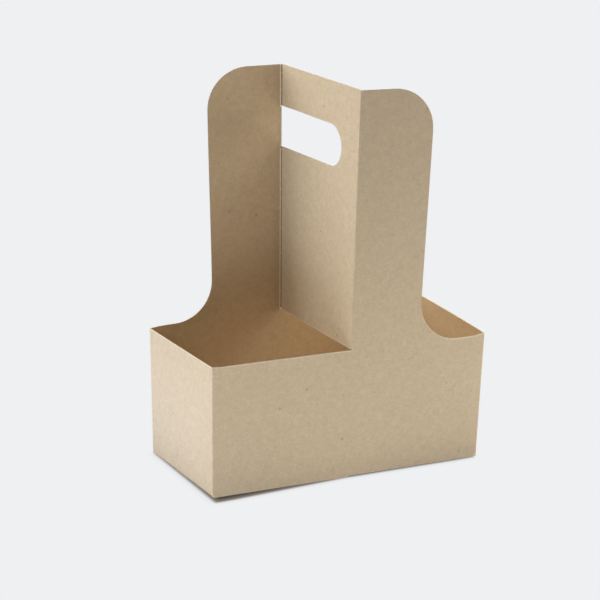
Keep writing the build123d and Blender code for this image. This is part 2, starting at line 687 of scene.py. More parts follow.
@dataclass(frozen=True)
class Base:
    """The flaps that close the base, and the short strips between their folds."""

    size: CarrierSize
    sleeve: Sleeve
    deep_lap: float = 12.0
    end_flap: float = 42.0
    end_flap_taper: float = 8.0
    pitch: float = 3.0

    def spans(self) -> list[tuple[float, float, BaseLevel]]:
        """Where each flap starts and ends along the sleeve, and its level.

        Returns:
            Start, end and level of each flap, in order along the sleeve.
        """
        size = self.size
        x, y, slit = size.end_x, size.side_y, size.flap_slit / 2
        left, front, right, _ = self.sleeve.corner_distances()
        flat_x, flat_y = size.flat_x, size.flat_y
        return [
            (x - flat_x, x - slit, BaseLevel.DEEP),
            (x + slit, x + flat_x, BaseLevel.SHORT),
            (left + y - flat_y, left + y + flat_y, BaseLevel.END),
            (front + x - flat_x, front + x - slit, BaseLevel.DEEP),
            (front + x + slit, front + x + flat_x, BaseLevel.SHORT),
            (right + y - flat_y, right + y + flat_y, BaseLevel.END),
        ]

    def reach(self, level: BaseLevel) -> float:
        """How far a flap reaches.

        Args:
            level: Which of the stacked boards the flap is.

        Returns:
            Its length from the outside of its wall.
        """
        half_depth = self.size.depth / 2
        reaches = {
            BaseLevel.DEEP: half_depth + self.deep_lap,
            BaseLevel.SHORT: half_depth,
            BaseLevel.END: self.end_flap,
        }
        return reaches[level]

    def flap(self, along: np.ndarray, level: BaseLevel) -> Patch:
        """One flap, from its tip back through its fold to the wall.

        Its section is a folded path in the plane of inward distance p and height. A place is
        the wall's place moved in by p, and its columns close in on the flap's middle by the
        taper's share of p.

        Args:
            along: Distances along the sleeve of the flap's columns.
            level: Which of the stacked boards the flap is.

        Returns:
            The patch.
        """
        size = self.size
        middle = (level.value + 0.5) * size.board
        tip = self.reach(level) - size.board / 2
        section = FoldedPath(((0.0, size.panel_start), (0.0, middle), (tip, middle)), size.fold)
        drop = size.panel_start - middle
        taper = self.end_flap_taper if level is BaseLevel.END else 0.0
        near, far = self.sleeve.wing.edge_rows
        flat = steps_between(drop + size.fold, drop + tip - far, self.pitch)
        tip_rows = drop + tip - np.array([near, 0.0])
        walked = in_order([[0.0], section.fold_steps(drop), flat[1:], tip_rows])
        profile, aside, blank = section.at(walked[::-1])
        wall = Patch.upright(self.sleeve.path, along, np.array([0.0]))
        origin, outward = wall.places[0], wall.outward[0]
        heading = np.cross([0.0, 0.0, 1.0], outward)
        centre = (along[0] + along[-1]) / 2
        half = (along[-1] - along[0]) / 2
        past_fold = np.clip(profile[:, 0] - size.fold, 0.0, None) / (tip - size.fold)
        closing = -past_fold[:, None] * taper * (along - centre)[None, :] / half
        places = origin + closing[..., None] * heading
        places = places - profile[:, :1, None] * outward
        places[..., 2] += profile[:, 1:]
        normals = -aside[:, :1, None] * outward + aside[:, 1:, None] * np.array([0.0, 0.0, 1.0])
        u = wall.blank[0, :, 0] + closing
        v = np.broadcast_to(size.panel_start - blank[:, None], u.shape)
        return Patch(places, normals, np.stack([u, v], axis=-1))

    def patches(self) -> list[Patch]:
        """All flaps, and the strips that reach down between them.

        Returns:
            The patches.
        """
        stations = self.sleeve.stations()
        spans = self.spans()
        made = []
        for start, end, level in spans:
            made.append(self.flap(inside(stations, start, end), level))
        gap_starts = [stations[0]] + [end for _, end, _ in spans]
        gap_ends = [start for start, _, _ in spans] + [stations[-1]]
        low = np.array([self.size.outer_fold, self.size.panel_start])
        for start, end in zip(gap_starts, gap_ends):
            made.append(Patch.upright(self.sleeve.path, inside(stations, start, end), low))
        return made


@dataclass(frozen=True)
class Stance:
    """How far the real carrier's corners and folds stand from the square solid's.

    All are millimetres. A corner has the (x, y, z) offset of its foot and of its rim, and a
    fold of the handle the (x, y) offset of its foot and of its top. The left front corner is
    lifted off the surface, the walls lean out a little, and the handle is twisted. A lean is
    along Y at the top, and a draw along X at the rim and at the top, both of a place on the
    wing one lean width from its fold. The rims' values are upwards, and the front one has
    them at its left end, its middle and its right end.
    """

    size: CarrierSize
    left_front: tuple[Triple, Triple] = ((0.75, 1.19, 3.76), (-0.35, -0.14, 3.96))
    left_back: tuple[Triple, Triple] = ((-0.08, -1.75, 0.07), (-1.01, 0.31, 0.27))
    right_front: tuple[Triple, Triple] = ((-0.52, 0.90, 0.0), (0.93, -0.88, 0.11))
    right_back: tuple[Triple, Triple] = ((0.20, -0.25, 1.66), (0.60, -0.26, 1.86))
    front_fold: tuple[Pair, Pair] = ((0.1, 0.4), (2.3, 0.1))
    back_fold: tuple[Pair, Pair] = ((-2.8, 0.6), (-4.95, -0.2))
    front_lean: float = -3.4
    back_lean: float = 5.4
    front_draw: Pair = (-0.9, -1.0)
    back_draw: Pair = (0.0, 0.9)
    lean_width: float = 47.0
    divider_bow: float = 0.75
    bow_fade: float = 3.2
    handle_fade: float = 60.0
    handle_power: int = 4
    front_rim: Triple = (-0.5, -0.4, -1.3)
    back_rim: float = 0.5
    left_rim: float = -0.15
    right_rim: float = 0.3
    right_bulge: float = 0.7
    corner_reach: float = 6.0
    rim_fade: float = 10.0
    end_power: int = 20
    ply_lift: float = 0.5
    ply_dip: float = 0.6
    dip_power: int = 4
    ply_reach: float = 1.5
    ply_start: float = 0.1
    ply_end: float = 1.0

    def box_offset(self, points: np.ndarray) -> np.ndarray:
        """Offset of the sleeve at each point, straight between its eight corners.

        Args:
            points: Points of the square carrier.

        Returns:
            The offsets.
        """
        size = self.size
        x = np.clip(points[:, :1] / size.length + 0.5, 0.0, 1.0)
        y = np.clip(points[:, 1:2] / size.depth + 0.5, 0.0, 1.0)
        z = np.clip(points[:, 2:] / size.wall_height, 0.0, 1.0)

        def upright(corner: tuple[Triple, Triple]) -> np.ndarray:
            """Offset along one corner, straight from its foot to its rim."""
            foot, rim = np.array(corner)
            return foot + (rim - foot) * z

        front = upright(self.left_front) * (1 - x) + upright(self.right_front) * x
        back = upright(self.left_back) * (1 - x) + upright(self.right_back) * x
        return front * (1 - y) + back * y

    def uneven_walls(self, points: np.ndarray) -> np.ndarray:
        """How the walls depart from straight lines between their corners.

        Each rim is raised or lowered by its own amount r, times smooth step (d / reach) with
        d the distance to the nearest corner in plan. Between the front and back walls r is
        straight in y, and close to an end wall it turns into that wall's by (2 x / length) to
        the end power. It falls evenly to 0 at the foot, and by e to the minus height over
        fade above the rim. The right wall bulges by b (1 - (2 y / depth) squared).

        Args:
            points: Points of the square carrier.

        Returns:
            The offsets.
        """
        size = self.size
        x, y, z = points[:, 0] * 2 / size.length, points[:, 1] * 2 / size.depth, points[:, 2]
        at_end = np.clip(np.abs(x), 0.0, 1.0) ** self.end_power
        share = np.clip((y + 1) / 2, 0.0, 1.0)
        front = np.interp(x, np.linspace(-1, 1, len(self.front_rim)), self.front_rim)
        rim = front * (1 - share) + self.back_rim * share
        rim = rim * (1 - at_end) + np.where(x < 0, self.left_rim, self.right_rim) * at_end
        corner = np.hypot((1 - np.abs(x)) * size.length / 2, (1 - np.abs(y)) * size.depth / 2)
        up = np.clip(z / size.wall_height, 0.0, 1.0)
        above = np.exp(-np.clip(z - size.wall_height, 0.0, None) / self.rim_fade)
        offset = np.zeros_like(points)
        offset[:, 2] = rim * smooth_step(corner / self.corner_reach) * up * above
        offset[:, 0] = self.right_bulge * (x > 0) * at_end * (1 - y**2) * up
        return offset

    def moved(self, points: np.ndarray) -> np.ndarray:
        """Moves points of the square carrier to where they really stand.

        A point gets the sleeve's offset, and on top of it the handle's: the folds' offsets
        less the sleeve's, straight between front and back and between rim and top, times
        1 - (2 x / length) to the handle power, fading out smoothly below the rim. The divider
        bows aside by its bow times 1 - (2 y / depth) squared. Towards the top each wing leans
        about its fold, so that a place one lean width from the fold moves by the whole lean.
        The same share of each wing's draw moves it along X.

        Args:
            points: Points of the square carrier.

        Returns:
            The moved points.
        """
        size = self.size
        base = self.box_offset(points)
        rim, rise = size.wall_height, size.height - size.wall_height
        middle = np.array([[0.0, -size.side_y, rim], [0.0, size.side_y, rim]])
        sleeve = self.box_offset(middle)[:, :2]
        y = np.clip(points[:, 1:2] / size.depth + 0.5, 0.0, 1.0)
        z = np.clip((points[:, 2:] - rim) / rise, 0.0, 1.0)
        folds = [
            np.array(foot) + (np.array(top) - np.array(foot)) * z - under
            for (foot, top), under in zip((self.front_fold, self.back_fold), sleeve)
        ]
        twist = folds[0] * (1 - y) + folds[1] * y
        centred = 1 - (2 * points[:, :1] / size.length) ** self.handle_power
        fade = smooth_step((points[:, 2:] - rim + self.handle_fade) / self.handle_fade)
        bow = self.divider_bow * (1 - (2 * points[:, 1:2] / size.depth) ** 2)
        bow = bow * np.clip(1 - np.abs(points[:, :1]) / self.bow_fade, 0.0, 1.0)
        lean = self.front_lean * (1 - y) + self.back_lean * y
        out = np.abs(points[:, :1]) / self.lean_width
        lean = lean * smooth_step(z) * out
        front, back = (low + (high - low) * z for low, high in (self.front_draw, self.back_draw))
        draw = (front * (1 - y) + back * y) * out * centred * fade
        moved = points + base
        moved[:, :2] += twist * centred * fade
        moved[:, :1] += bow * fade + draw
        moved[:, 1:2] += lean
        return moved + self.uneven_walls(points) + self.loose_ply(points)

    def loose_ply(self, points: np.ndarray) -> np.ndarray:
        """How the front wing's ply lies on the other: raised at its back end, sagging below.

        With u the share of the height from rim to top, the ply rises by its lift times u
        times smooth step (2 y / depth), and sinks by its dip times 1 - (2 y / depth) squared
        times (1 - u) to the dip power. It starts a little above the rim and ends a little
        before the back wall, where the other wing's fold is.

        Args:
            points: Points of the square carrier.

        Returns:
            The offsets, zero outside this ply.
        """
        size = self.size
        x, y, z = points.T
        on_ply = (x < 0) & (x > -self.ply_reach)
        on_ply &= (z > size.wall_height + self.ply_start) & (y < size.side_y - self.ply_end)
        up = (z - size.wall_height) / (size.height - size.wall_height)
        lift = self.ply_lift * smooth_step(2 * y / size.depth) * up
        dip = self.ply_dip * (1 - (2 * y / size.depth) ** 2) * (1 - up) ** self.dip_power
        offset = np.zeros_like(points)
        offset[:, 2] = np.where(on_ply, lift - dip, 0.0)
        return offset


@dataclass
class FoldedBoard:
    """The whole board: welded patches with a thickness, as one closed piece.

    Lengths are millimetres and the sharp angle is in degrees. A crease is the fold between a
    wing and its ply, given by its place on the blank. Edges are lightened as wear at the rim,
    less so up to the rim wear and shade height above it; above that a cut edge keeps its
    darker paper, which is painted shade. Places are welded by their number of weld steps,
    shifted so that no place is half-way between two numbers. A quad is bent where the cosine
    between its normals is under the flat cosine, and the hair keeps an edge from having no
    length.
    """

    size: CarrierSize
    stance: Stance
    patches: list[Patch]
    creases: tuple[float, ...]
    edge_break: float = 0.08
    bead_height: float = 0.35
    bead_middle: float = 0.5
    bead_width: float = 0.5
    rim_wear_and_shade_height: float = 22.0
    farthest: float = 50.0
    weld_step: float = 0.002
    weld_shift: float = 0.237
    flat_cosine: float = 0.9999
    hair: float = 1e-6
    least_mitre: float = 0.5
    sharp_angle: float = 30.0
    places: np.ndarray = field(init=False)
    outward: np.ndarray = field(init=False)
    blank: np.ndarray = field(init=False)
    quads: np.ndarray = field(init=False)

    def __post_init__(self) -> None:
        """Welds the patches where they share places."""
        quads, first = [], 0
        for patch in self.patches:
            rows, columns = patch.places.shape[:2]
            index = first + np.arange(rows * columns).reshape(rows, columns)
            cells = [index[:-1, :-1], index[:-1, 1:], index[1:, 1:], index[1:, :-1]]
            quads.append(np.stack(cells, axis=-1).reshape(-1, 4))
            first += rows * columns
        places = np.concatenate([patch.places.reshape(-1, 3) for patch in self.patches])
        keys = np.round(places / self.weld_step + self.weld_shift).astype(np.int64)
        _, kept, merged = np.unique(keys, axis=0, return_index=True, return_inverse=True)
        self.places = places[kept]
        self.outward = np.concatenate([p.outward.reshape(-1, 3) for p in self.patches])[kept]
        self.blank = np.concatenate([p.blank.reshape(-1, 2) for p in self.patches])[kept]
        self.quads = merged.reshape(-1)[np.concatenate(quads)]

    def cut_edges(self) -> np.ndarray:
        """Finds the directed edges that only one face has.

        Returns:
            Their start and end vertices.
        """
        starts = self.quads.reshape(-1)
        ends = np.roll(self.quads, -1, axis=1).reshape(-1)
        count = len(self.places)
        there, back = starts * count + ends, ends * count + starts
        alone = ~np.isin(there, back)
        return np.stack([starts[alone], ends[alone]], axis=1)

    def edge_outward(self, edges: np.ndarray) -> np.ndarray:
        """Direction that points out of the sheet at each vertex, scaled as a mitre.

        An edge's own direction out of the sheet is the edge crossed with the board's normal.
        A vertex between two edges has (a + b) / (1 + a . b), which keeps both edges' offset,
        and the divisor is no less than the least mitre.

        Args:
            edges: Directed cut edges.

        Returns:
            One vector for each vertex, zero away from the cut edges.
        """
        along = self.places[edges[:, 1]] - self.places[edges[:, 0]]
        normal = self.outward[edges].mean(axis=1)
        aside = np.cross(along, normal)
        aside /= np.linalg.norm(aside, axis=1, keepdims=True)
        leaving = np.zeros_like(self.places)
        arriving = np.zeros_like(self.places)
        leaving[edges[:, 0]] = aside
        arriving[edges[:, 1]] = aside
        cosine = (leaving * arriving).sum(axis=1, keepdims=True)
        return (leaving + arriving) / np.maximum(1 + cosine, self.least_mitre)

    def distance_to(self, starts: np.ndarray, ends: np.ndarray, batch: int = 64) -> np.ndarray:
        """Distance on the blank from each vertex to the nearest of some straight edges.

        For an edge from a to b and a point p the nearest place is a + (b - a) s, where s is
        (p - a) . (b - a) / |b - a| squared held between 0 and 1.

        Args:
            starts: First ends of the edges, on the blank.
            ends: Second ends of the edges, on the blank.
            batch: How many edges are measured at a time.

        Returns:
            The distances.
        """
        nearest = np.full(len(self.blank), self.farthest**2)
        for first in range(0, len(starts), batch):
            a, b = starts[first:first + batch], ends[first:first + batch]
            span = b - a
            offset = self.blank[:, None, :] - a
            share = np.clip((offset * span).sum(-1) / (span**2).sum(-1), 0.0, 1.0)
            gap = offset - share[..., None] * span
            nearest = np.minimum(nearest, (gap**2).sum(-1).min(axis=1))
        return np.sqrt(nearest)

    def fold_distance(self) -> np.ndarray:
        """Distance on the blank from each vertex to where the board bends.

        Returns:
            The distances, measured to the middles of the quads whose corners' normals differ.
        """
        normals = self.outward[self.quads]
        bent = (normals[:, 0] * normals[:, 2]).sum(axis=1) < self.flat_cosine
        middle = self.blank[self.quads[bent]]
        lower, upper = middle[:, :2].mean(axis=1), middle[:, 2:].mean(axis=1)
        return self.distance_to(lower, upper + self.hair)

    def crease_offset(self) -> np.ndarray:
        """Distance on the blank past a wing's crease, less than 0 on the ply.

        Returns:
            The distances, and the farthest one below the rim, where there is no such crease.
        """
        offset = self.blank[:, :1] - np.array(self.creases)
        nearest = np.take_along_axis(offset, np.abs(offset).argmin(axis=1)[:, None], axis=1)[:, 0]
        return np.where(self.places[:, 2] < self.size.wall_height, self.farthest, nearest)

    def bead(self, crease: np.ndarray) -> np.ndarray:
        """Height of the bead beside the creases: h (1 - u squared) squared.

        Args:
            crease: Distance of each vertex past its crease, from which u is the distance
                from the bead's middle over the bead's width, 1 at the most.

        Returns:
            The heights.
        """
        across = np.clip(np.abs(crease - self.bead_middle) / self.bead_width, 0.0, 1.0)
        return self.bead_height * (1 - across**2) ** 2

    def shell(self, edges: np.ndarray, bead: np.ndarray) -> tuple[np.ndarray, np.ndarray]:
        """Vertices of the closed piece, on the square carrier.

        The outside and the inside are the middle surface moved by half the thickness along
        its normal, and the inside also has the bead. Along every cut edge both are drawn in
        by the edge break, and two rows of vertices between them make the edge and its broken
        corners.

        Args:
            edges: Directed cut edges.
            bead: Height of the bead at each welded vertex.

        Returns:
            The vertices, and for each the welded vertex that it comes from.
        """
        half = self.size.board / 2
        drawn_in = self.places - self.edge_outward(edges) * self.edge_break
        rim = np.unique(edges)
        shoulder = self.outward[rim] * (half - self.edge_break)
        vertices = np.concatenate([
            drawn_in + self.outward * half,
            drawn_in - self.outward * (half + bead)[:, None],
            self.places[rim] + shoulder,
            self.places[rim] - shoulder,
        ])
        every = np.arange(len(self.places))
        return vertices, np.concatenate([every, every, rim, rim])

    def faces(self, edges: np.ndarray) -> tuple[np.ndarray, np.ndarray]:
        """Faces of the closed piece: both sides, and three rows of quads round the cut edges.

        Args:
            edges: Directed cut edges.

        Returns:
            The faces' vertices and material slots.
        """
        count = len(self.places)
        rim = np.unique(edges)
        place_of = np.zeros(count, dtype=np.int64)
        place_of[rim] = np.arange(len(rim))
        a, b = edges[:, 0], edges[:, 1]
        rim_a, rim_b = 2 * count + place_of[a], 2 * count + place_of[b]
        under = len(rim)
        faces = np.concatenate([
            self.quads,
            self.quads[:, ::-1] + count,
            np.stack([b, a, rim_a, rim_b], axis=1),
            np.stack([rim_b, rim_a, rim_a + under, rim_b + under], axis=1),
            np.stack([rim_b + under, rim_a + under, a + count, b + count], axis=1),
        ])
        slots = np.repeat(
            [Face.OUTSIDE.value, Face.INSIDE.value, Face.CUT_EDGE.value],
            [len(self.quads), len(self.quads), 3 * len(edges)],
        )
        return faces, slots

    def build(self, name: str) -> bpy.types.Object:
        """Makes the closed piece, moved to how the real carrier stands.

        Args:
            name: Name of the piece.

        Returns:
            The object, at the origin.
        """
        edges = self.cut_edges()
        crease = self.crease_offset()
        vertices, source = self.shell(edges, self.bead(crease))
        faces, slots = self.faces(edges)
        mesh = bpy.data.meshes.new(name)
        mesh.from_pydata(self.stance.moved(vertices) * MM, [], faces)
        mesh.polygons.foreach_set("material_index", slots.astype(np.int32))
        self.write_blank(mesh, source)
        starts, ends = self.blank[edges[:, 0]], self.blank[edges[:, 1]]
        # 1 at the rim, 0 from the rim wear and shade height up: edges are lightened as wear near the
        # rim, and cut edges above it keep their darker paper as painted shade.
        rubbed = 1 - smooth_step((self.places[:, 2] - self.size.wall_height) / self.rim_wear_and_shade_height)
        for board_map, values in (
            (BoardMap.CUT_DISTANCE, self.distance_to(starts, ends) * MM),
            (BoardMap.FOLD_DISTANCE, self.fold_distance() * MM),
            (BoardMap.CREASE_OFFSET, crease * MM),
            (BoardMap.RUBBED, rubbed),
        ):
            self.write_attribute(mesh, board_map, values[source])
        mesh.shade_smooth()
        mesh.set_sharp_from_angle(angle=math.radians(self.sharp_angle))
        mesh.update()
        piece = new_object(name, mesh)
        LOG.info("%s: %d faces, %d cut edges", name, len(faces), len(edges))
        return piece

    def write_blank(self, mesh: bpy.types.Mesh, source: np.ndarray) -> None:
        """Gives the mesh a UV map with the place on the flat blank, in metres.

        Args:
            mesh: The mesh to write to.
            source: For each vertex of the mesh, the welded vertex that it comes from.
        """
        corners = np.empty(len(mesh.loops), dtype=np.int32)
        mesh.loops.foreach_get("vertex_index", corners)
        layer = mesh.uv_layers.new(name=BoardMap.BLANK.value)
        layer.data.foreach_set("uv", (self.blank[source][corners] * MM).astype(np.float32).ravel())

    @staticmethod
    def write_attribute(mesh: bpy.types.Mesh, board_map: BoardMap, values: np.ndarray) -> None:
        """Writes one number for each vertex."""
        layer = mesh.attributes.new(board_map.value, "FLOAT", "POINT")
        layer.data.foreach_set("value", values.astype(np.float32))


def linear(red: int, green: int, blue: int) -> tuple[float, float, float, float]:
    """Colour as linear light from its 0 to 255 display values, by the sRGB curve.

    A share s of full display light is s / 12.92 up to 0.04045, and above that it is
    ((s + 0.055) / 1.055) to the power 2.4.

    Args:
        red: Display value.
        green: Display value.
        blue: Display value.

    Returns:
        Red, green, blue and an alpha of 1.
    """
    shares = [value / 255 for value in (red, green, blue)]
    light = [s / 12.92 if s <= 0.04045 else ((s + 0.055) / 1.055) ** 2.4 for s in shares]
    return (*light, 1.0)


def outward_from(azimuth: float, elevation: float) -> Vector:
    """Direction from the carrier at an azimuth, 0 at the front, and an elevation, in degrees."""
    a, e = math.radians(azimuth), math.radians(elevation)
    return Vector((math.sin(a) * math.cos(e), -math.cos(a) * math.cos(e), math.sin(e)))


@dataclass
class NodeSheet:
    """A node tree with short ways to add and join nodes."""

    tree: bpy.types.NodeTree

    @classmethod
    def of(cls, owner: bpy.types.Material | bpy.types.World) -> "NodeSheet":
        """Starts the node tree of a material or a world.

        Args:
            owner: The material or world.

        Returns:
            The sheet of its nodes, which has none yet.
        """
        owner.use_nodes = True
        owner.node_tree.nodes.clear()
        return cls(owner.node_tree)

    def add(
        self, kind: str, inputs: dict[str | int, SocketValue] | None = None, **settings: object,
    ) -> bpy.types.Node:
        """Adds a node.

        Args:
            kind: Its type's name.
            inputs: Values or output sockets for its inputs, by name or number.
            **settings: Its own properties.

        Returns:
            The node.
        """
        node = self.tree.nodes.new(kind)
        for name, value in settings.items():
            setattr(node, name, value)
        for key, value in (inputs or {}).items():
            if isinstance(value, Socket):
                self.tree.links.new(value, node.inputs[key])
            else:
                node.inputs[key].default_value = value
        return node

    def math(self, operation: str, *values: SocketValue) -> Socket:
        """Result of a Math node on numbers or sockets."""
        return self.add("ShaderNodeMath", dict(enumerate(values)), operation=operation).outputs[0]

    def vector(self, operation: str, *values: SocketValue) -> Socket:
        """Result of a Vector Math node on vectors or sockets."""
        return self.add("ShaderNodeVectorMath", dict(enumerate(values)), operation=operation).outputs[0]

    def attribute(self, board_map: BoardMap) -> Socket:
        """Number that the mesh stores for its finishes."""
        return self.add("ShaderNodeAttribute", attribute_name=board_map.value).outputs["Fac"]

    def step_down(self, value: Socket, start: SocketValue, end: SocketValue) -> Socket:
        """Smooth step from 1 down to 0.

        Args:
            value: What the step depends on.
            start: Value up to which the step is 1.
            end: Value beyond which it is 0.

        Returns:
            The step.
        """
        inputs = {"Value": value, "From Min": start, "From Max": end, "To Min": 1.0, "To Max": 0.0}
        node = self.add("ShaderNodeMapRange", inputs, interpolation_type="SMOOTHSTEP")
        return node.outputs["Result"]

    def blend(self, share: SocketValue, first: SocketValue, second: SocketValue) -> Socket:
        """Colour between two, from the first at a share of 0 to the second at 1.

        A Mix node has sockets of each kind, and the numbers are those of its colours.

        Args:
            share: How much of the second colour there is.
            first: The first colour.
            second: The second colour.

        Returns:
            The colour.
        """
        share_socket, first_socket, second_socket, result = 0, 6, 7, 2
        inputs = {share_socket: share, first_socket: first, second_socket: second}
        return self.add("ShaderNodeMix", inputs, data_type="RGBA").outputs[result]


def new_group(name: str, inputs: tuple[str, ...], outputs: tuple[str, ...]) -> NodeSheet:
    """Starts a shader node group.

    Args:
        name: Name of the group.
        inputs: Names of its number inputs.
        outputs: Names of its number outputs.

    Returns:
        The sheet of the group's nodes.
    """
    tree = bpy.data.node_groups.new(name, "ShaderNodeTree")
    for direction, labels in (("INPUT", inputs), ("OUTPUT", outputs)):
        for label in labels:
            tree.interface.new_socket(label, in_out=direction, socket_type="NodeSocketFloat")
    return NodeSheet(tree)


@dataclass(frozen=True)
class BoardNoise:
    """One noise over the blank, stretched along it where its share of a direction is small."""

    scale: float
    detail: float = 1.0
    roughness: float = 0.5
    stretch: Triple = (1.0, 1.0, 1.0)
    distortion: float = 0.3

    def swing(self, sheet: NodeSheet, place: Socket) -> Socket:
        """Adds the noise to a node tree.

        Args:
            sheet: Sheet of the tree's nodes.
            place: Place on the blank, in metres.

        Returns:
            The noise less its middle, from -0.5 to 0.5.
        """
        at = sheet.add("ShaderNodeMapping", {"Vector": place, "Scale": self.stretch}).outputs[0]
        noise = sheet.add("ShaderNodeTexNoise", {
            "Vector": at,
            "Scale": self.scale,
            "Detail": self.detail,
            "Roughness": self.roughness,
            "Distortion": self.distortion,
        })
        return sheet.math("SUBTRACT", noise.outputs[0], 0.5)


@dataclass(frozen=True)
class FibreGroup:
    """The look of pressed fibres, shared by all faces of the board.

    Specks are spots at the middles of cells, and their reach is where they fade, as a share
    of a cell.
    """

    name: str = "pressed_fibres"
    clouds: BoardNoise = BoardNoise(60.0)
    mottle: BoardNoise = BoardNoise(200.0, detail=4.0, roughness=0.95)
    along: BoardNoise = BoardNoise(1300.0, stretch=(0.2, 1.0, 1.0))
    across: BoardNoise = BoardNoise(1300.0, stretch=(1.0, 0.25, 1.0))
    mottle_height: float = 0.6
    speck_cells: float = 170.0
    speck_reach: Pair = (0.05, 0.26)
    speck_depth: float = 0.32

    def build(self) -> bpy.types.NodeTree:
        """Makes the node group.

        Tone is 1 plus the clouds, the mottle and the fibres, each a noise about 0 times its
        input. Specks is the speck depth in small spots at the middles of a few random cells.
        Height is the fibres with a share of the mottle.

        Returns:
            The group.
        """
        inputs = ("Clouds", "Mottle", "Fibres", "Specks", "Shift")
        sheet = new_group(self.name, inputs, ("Tone", "Specks", "Height"))
        given = sheet.add("NodeGroupInput").outputs
        blank = sheet.add("ShaderNodeUVMap", uv_map=BoardMap.BLANK.value).outputs["UV"]
        shift = sheet.add("ShaderNodeCombineXYZ", {"Z": given["Shift"]}).outputs[0]
        place = sheet.vector("ADD", blank, shift)
        noises = (self.clouds, self.mottle, self.along, self.across)
        clouds, mottle, along, across = (noise.swing(sheet, place) for noise in noises)
        fibres = sheet.math("MAXIMUM", along, across)
        tone = sheet.math("MULTIPLY_ADD", clouds, given["Clouds"], 1.0)
        tone = sheet.math("MULTIPLY_ADD", mottle, given["Mottle"], tone)
        tone = sheet.math("MULTIPLY_ADD", fibres, given["Fibres"], tone)
        cells = sheet.add("ShaderNodeTexVoronoi", {"Vector": place, "Scale": self.speck_cells})
        chance = sheet.add("ShaderNodeSeparateColor", {"Color": cells.outputs["Color"]}).outputs[0]
        chosen = sheet.math("LESS_THAN", chance, given["Specks"])
        spot = sheet.step_down(cells.outputs["Distance"], *self.speck_reach)
        specks = sheet.math("MULTIPLY", sheet.math("MULTIPLY", spot, chosen), self.speck_depth)
        height = sheet.math("MULTIPLY_ADD", mottle, self.mottle_height, fibres)
        sheet.add("NodeGroupOutput", {"Tone": tone, "Specks": specks, "Height": height})
        return sheet.tree


@dataclass(frozen=True)
class WearAndPaintedLightGroup:
    """Masks shared by all faces: bare fibre along the cut edges, folds and creases, with
    painted highlight on a crease's bead and painted shade in the groove beside it.

    The nicks are short marks across the crease of a ply, and the hole is where the crease is
    cut away. Both are heights, in millimetres as all lengths here. The bead and the groove
    are measured from the crease, towards the wing, and soft is half the width of their ends.
    """

    hole: Pair
    name: str = "edge_and_fold_wear"
    nicks: tuple[float, ...] = (232.0, 221.5, 184.5, 159.5, 135.0, 118.5, 94.0)
    nick_half: float = 0.4
    nick_wear: float = 0.4
    bead: Pair = (0.1, 0.8)
    groove: Pair = (-2.2, 0.1)
    soft: float = 0.2
    roughening: float = 420.0
    roughening_detail: float = 3.0

    def band(self, sheet: NodeSheet, value: Socket, low: float, high: float) -> Socket:
        """1 between two values and 0 beside them, with soft ends.

        Args:
            sheet: Sheet of the group's nodes.
            value: What the band depends on, in metres.
            low: Where it starts, in millimetres.
            high: Where it ends, in millimetres.

        Returns:
            The band.
        """
        below = sheet.step_down(value, (low - self.soft) * MM, (low + self.soft) * MM)
        above = sheet.step_down(value, (high - self.soft) * MM, (high + self.soft) * MM)
        return sheet.math("SUBTRACT", above, below)

    def build(self) -> bpy.types.NodeTree:
        """Makes the node group.

        Edge is 1 at a cut edge and falls to 0 over the edge width, which a noise widens and
        narrows, and it is stronger close to the rim, down to the least edge lightening above
        it. Fold does the same about the middle of a fold. Bead is 1 on a crease's bead and on
        the nicks, where the finishes paint bare fibre and highlight, and Groove is 1 beside
        it, where they paint shade.

        Returns:
            The group.
        """
        inputs = ("Edge Width", "Fold Width", "Unevenness", "Unrubbed")
        sheet = new_group(self.name, inputs, ("Edge", "Fold", "Bead", "Groove"))
        given = sheet.add("NodeGroupInput").outputs
        place = sheet.add("ShaderNodeTexCoord").outputs["Object"]
        rough = sheet.add("ShaderNodeTexNoise", {
            "Vector": place,
            "Scale": self.roughening,
            "Detail": self.roughening_detail,
        })
        swing = sheet.math("SUBTRACT", rough.outputs[0], 0.5)
        swing = sheet.math("MULTIPLY", swing, given["Unevenness"])
        factor = sheet.math("ADD", swing, 1.0)
        masks = {}
        for label, board_map in (("Edge", BoardMap.CUT_DISTANCE), ("Fold", BoardMap.FOLD_DISTANCE)):
            distance = sheet.attribute(board_map)
            reach = sheet.math("MULTIPLY", given[label + " Width"], factor)
            masks[label] = sheet.step_down(distance, 0.0, reach)
        # Near the rim edges are lightened as wear; higher up the least edge lightening leaves cut edges
        # mostly in their darker paper, as painted shade.
        rubbed = sheet.math("MAXIMUM", sheet.attribute(BoardMap.RUBBED), given["Unrubbed"])
        masks["Edge"] = sheet.math("MULTIPLY", masks["Edge"], rubbed)
        crease = sheet.attribute(BoardMap.CREASE_OFFSET)
        height = sheet.add("ShaderNodeSeparateXYZ", {0: place}).outputs["Z"]
        nicks = 0.0
        for nick in self.nicks:
            mark = self.band(sheet, height, nick - self.nick_half, nick + self.nick_half)
            nicks = sheet.math("ADD", nicks, mark)
        crossing = self.band(sheet, crease, self.groove[0], self.bead[1])
        nicks = sheet.math("MULTIPLY", sheet.math("MULTIPLY", nicks, crossing), self.nick_wear)
        hole = self.band(sheet, height, *self.hole)
        # The bead's mask, where the finishes paint bare fibre and highlight.
        bead = sheet.math("SUBTRACT", self.band(sheet, crease, *self.bead), hole)
        masks["Bead"] = sheet.math("MAXIMUM", bead, nicks)
        # The groove's mask, where the finishes paint shade.
        groove = sheet.math("SUBTRACT", self.band(sheet, crease, *self.groove), nicks)
        masks["Groove"] = sheet.math("MAXIMUM", groove, 0.0)
        sheet.add("NodeGroupOutput", masks)
        return sheet.tree


